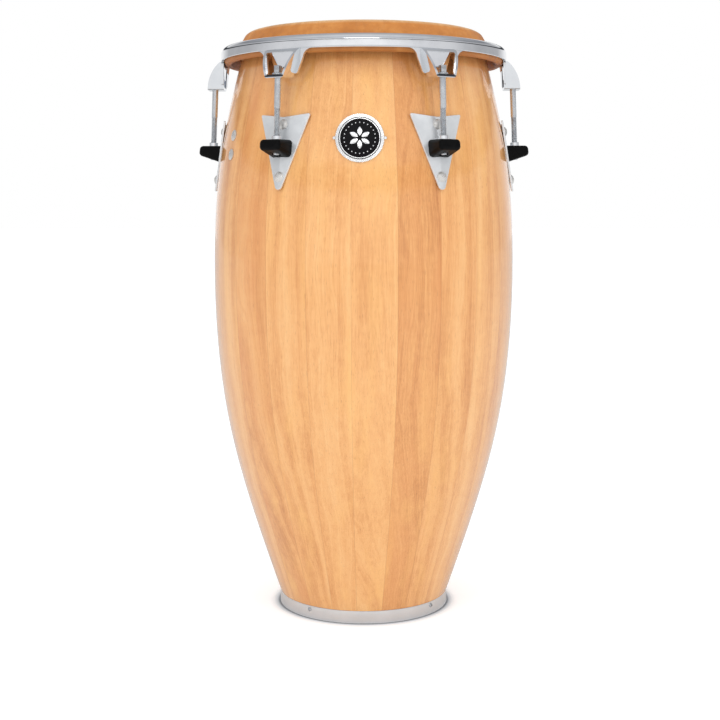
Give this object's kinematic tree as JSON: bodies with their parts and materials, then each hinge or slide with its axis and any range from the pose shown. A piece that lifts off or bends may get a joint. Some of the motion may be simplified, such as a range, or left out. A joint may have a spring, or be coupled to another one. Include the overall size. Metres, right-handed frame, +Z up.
{
  "type": "conga drum",
  "caption": "Tall barrel-shaped staved wooden hand drum with a rawhide head, a rolled metal counterhoop, ear-and-rod tuning lugs, tapered side plates and a metal base band.",
  "frame": {"origin": "centre of the open bottom of the shell, on the floor plane", "axes": "+Z up the drum's axis to the head; the badge is at the front, on -Y"},
  "size_m": [0.4366, 0.3994, 0.7642],
  "materials": {
    "lacquered_wood": "clear gloss lacquer over fine straight grain",
    "rawhide": "dry natural rawhide",
    "chrome": "polished plating",
    "zinc_steel": "zinc plated",
    "satin_steel": "satin brushed band",
    "black_rubber": "moulded rubber",
    "badge_metal": "bright plated",
    "black_enamel": "gloss black enamel"
  },
  "bodies": {
    "shell": {"stave_01": "lacquered_wood", "stave_02": "lacquered_wood", "stave_03": "lacquered_wood", "stave_04": "lacquered_wood", "stave_05": "lacquered_wood", "stave_06": "lacquered_wood", "stave_07": "lacquered_wood", "stave_08": "lacquered_wood", "stave_09": "lacquered_wood", "stave_10": "lacquered_wood", "stave_11": "lacquered_wood", "stave_12": "lacquered_wood", "stave_13": "lacquered_wood", "stave_14": "lacquered_wood", "stave_15": "lacquered_wood", "stave_16": "lacquered_wood", "stave_17": "lacquered_wood", "stave_18": "lacquered_wood", "stave_19": "lacquered_wood", "stave_20": "lacquered_wood", "stave_21": "lacquered_wood", "stave_22": "lacquered_wood", "base_band": "satin_steel", "base_band_screws": "zinc_steel", "drum_head": "rawhide", "flesh_hoop": "zinc_steel", "side_plate_1": "chrome", "side_plate_2": "chrome", "side_plate_3": "chrome", "side_plate_4": "chrome", "side_plate_5": "chrome", "side_plate_6": "chrome", "lug_boot_1": "black_rubber", "lug_boot_2": "black_rubber", "lug_boot_3": "black_rubber", "lug_boot_4": "black_rubber", "lug_boot_5": "black_rubber", "lug_boot_6": "black_rubber", "lug_bushes": "chrome", "carriage_bolts": "chrome", "bolt_washers": "zinc_steel", "bolt_nuts": "zinc_steel", "badge_plate": "badge_metal", "badge_inlay": "black_enamel", "badge_pins": "zinc_steel"},
    "counterhoop": {"counterhoop": "chrome", "hoop_ears": "chrome"},
    "rod_washer_1": {"rod_washer_1": "zinc_steel"},
    "tension_rod_1": {"tension_rod_1": "chrome"},
    "rod_washer_2": {"rod_washer_2": "zinc_steel"},
    "tension_rod_2": {"tension_rod_2": "chrome"},
    "rod_washer_3": {"rod_washer_3": "zinc_steel"},
    "tension_rod_3": {"tension_rod_3": "chrome"},
    "rod_washer_4": {"rod_washer_4": "zinc_steel"},
    "tension_rod_4": {"tension_rod_4": "chrome"},
    "rod_washer_5": {"rod_washer_5": "zinc_steel"},
    "tension_rod_5": {"tension_rod_5": "chrome"},
    "rod_washer_6": {"rod_washer_6": "zinc_steel"},
    "tension_rod_6": {"tension_rod_6": "chrome"}
  },
  "joints": [
    {"name": "counterhoop_travel", "type": "slide", "parent": "shell", "child": "counterhoop", "axis": [0, 0, 1], "range_m": [0, 0.008]},
    {"name": "rod_1_travel", "type": "slide", "parent": "shell", "child": "rod_washer_1", "axis": [0.0229, -0.0396, 0.999], "range_m": [0, 0.00801]},
    {"name": "rod_1_spin", "type": "hinge", "parent": "rod_washer_1", "child": "tension_rod_1", "pos_m": [-0.0987, 0.17095, 0.69], "axis": [0.0229, -0.0396, 0.999], "range_deg": [0, 2044.1]},
    {"name": "rod_2_travel", "type": "slide", "parent": "shell", "child": "rod_washer_2", "axis": [0.0457, 0, 0.999], "range_m": [0, 0.00801]},
    {"name": "rod_2_spin", "type": "hinge", "parent": "rod_washer_2", "child": "tension_rod_2", "pos_m": [-0.1974, 0, 0.69], "axis": [0.0457, 0, 0.999], "range_deg": [0, 2044.1]},
    {"name": "rod_3_travel", "type": "slide", "parent": "shell", "child": "rod_washer_3", "axis": [0.0229, 0.0396, 0.999], "range_m": [0, 0.00801]},
    {"name": "rod_3_spin", "type": "hinge", "parent": "rod_washer_3", "child": "tension_rod_3", "pos_m": [-0.0987, -0.17095, 0.69], "axis": [0.0229, 0.0396, 0.999], "range_deg": [0, 2044.1]},
    {"name": "rod_4_travel", "type": "slide", "parent": "shell", "child": "rod_washer_4", "axis": [-0.0229, 0.0396, 0.999], "range_m": [0, 0.00801]},
    {"name": "rod_4_spin", "type": "hinge", "parent": "rod_washer_4", "child": "tension_rod_4", "pos_m": [0.0987, -0.17095, 0.69], "axis": [-0.0229, 0.0396, 0.999], "range_deg": [0, 2044.1]},
    {"name": "rod_5_travel", "type": "slide", "parent": "shell", "child": "rod_washer_5", "axis": [-0.0457, 0, 0.999], "range_m": [0, 0.00801]},
    {"name": "rod_5_spin", "type": "hinge", "parent": "rod_washer_5", "child": "tension_rod_5", "pos_m": [0.1974, 0, 0.69], "axis": [-0.0457, 0, 0.999], "range_deg": [0, 2044.1]},
    {"name": "rod_6_travel", "type": "slide", "parent": "shell", "child": "rod_washer_6", "axis": [-0.0229, -0.0396, 0.999], "range_m": [0, 0.00801]},
    {"name": "rod_6_spin", "type": "hinge", "parent": "rod_washer_6", "child": "tension_rod_6", "pos_m": [0.0987, 0.17095, 0.69], "axis": [-0.0229, -0.0396, 0.999], "range_deg": [0, 2044.1]}
  ],
  "couplings": [
    {"joint": "rod_1_travel", "follows": "counterhoop_travel", "ratio": 1.001},
    {"joint": "rod_1_spin", "follows": "counterhoop_travel", "rad_per_m": 4457.3},
    {"joint": "rod_2_travel", "follows": "counterhoop_travel", "ratio": 1.001},
    {"joint": "rod_2_spin", "follows": "counterhoop_travel", "rad_per_m": 4457.3},
    {"joint": "rod_3_travel", "follows": "counterhoop_travel", "ratio": 1.001},
    {"joint": "rod_3_spin", "follows": "counterhoop_travel", "rad_per_m": 4457.3},
    {"joint": "rod_4_travel", "follows": "counterhoop_travel", "ratio": 1.001},
    {"joint": "rod_4_spin", "follows": "counterhoop_travel", "rad_per_m": 4457.3},
    {"joint": "rod_5_travel", "follows": "counterhoop_travel", "ratio": 1.001},
    {"joint": "rod_5_spin", "follows": "counterhoop_travel", "rad_per_m": 4457.3},
    {"joint": "rod_6_travel", "follows": "counterhoop_travel", "ratio": 1.001},
    {"joint": "rod_6_spin", "follows": "counterhoop_travel", "rad_per_m": 4457.3}
  ]
}
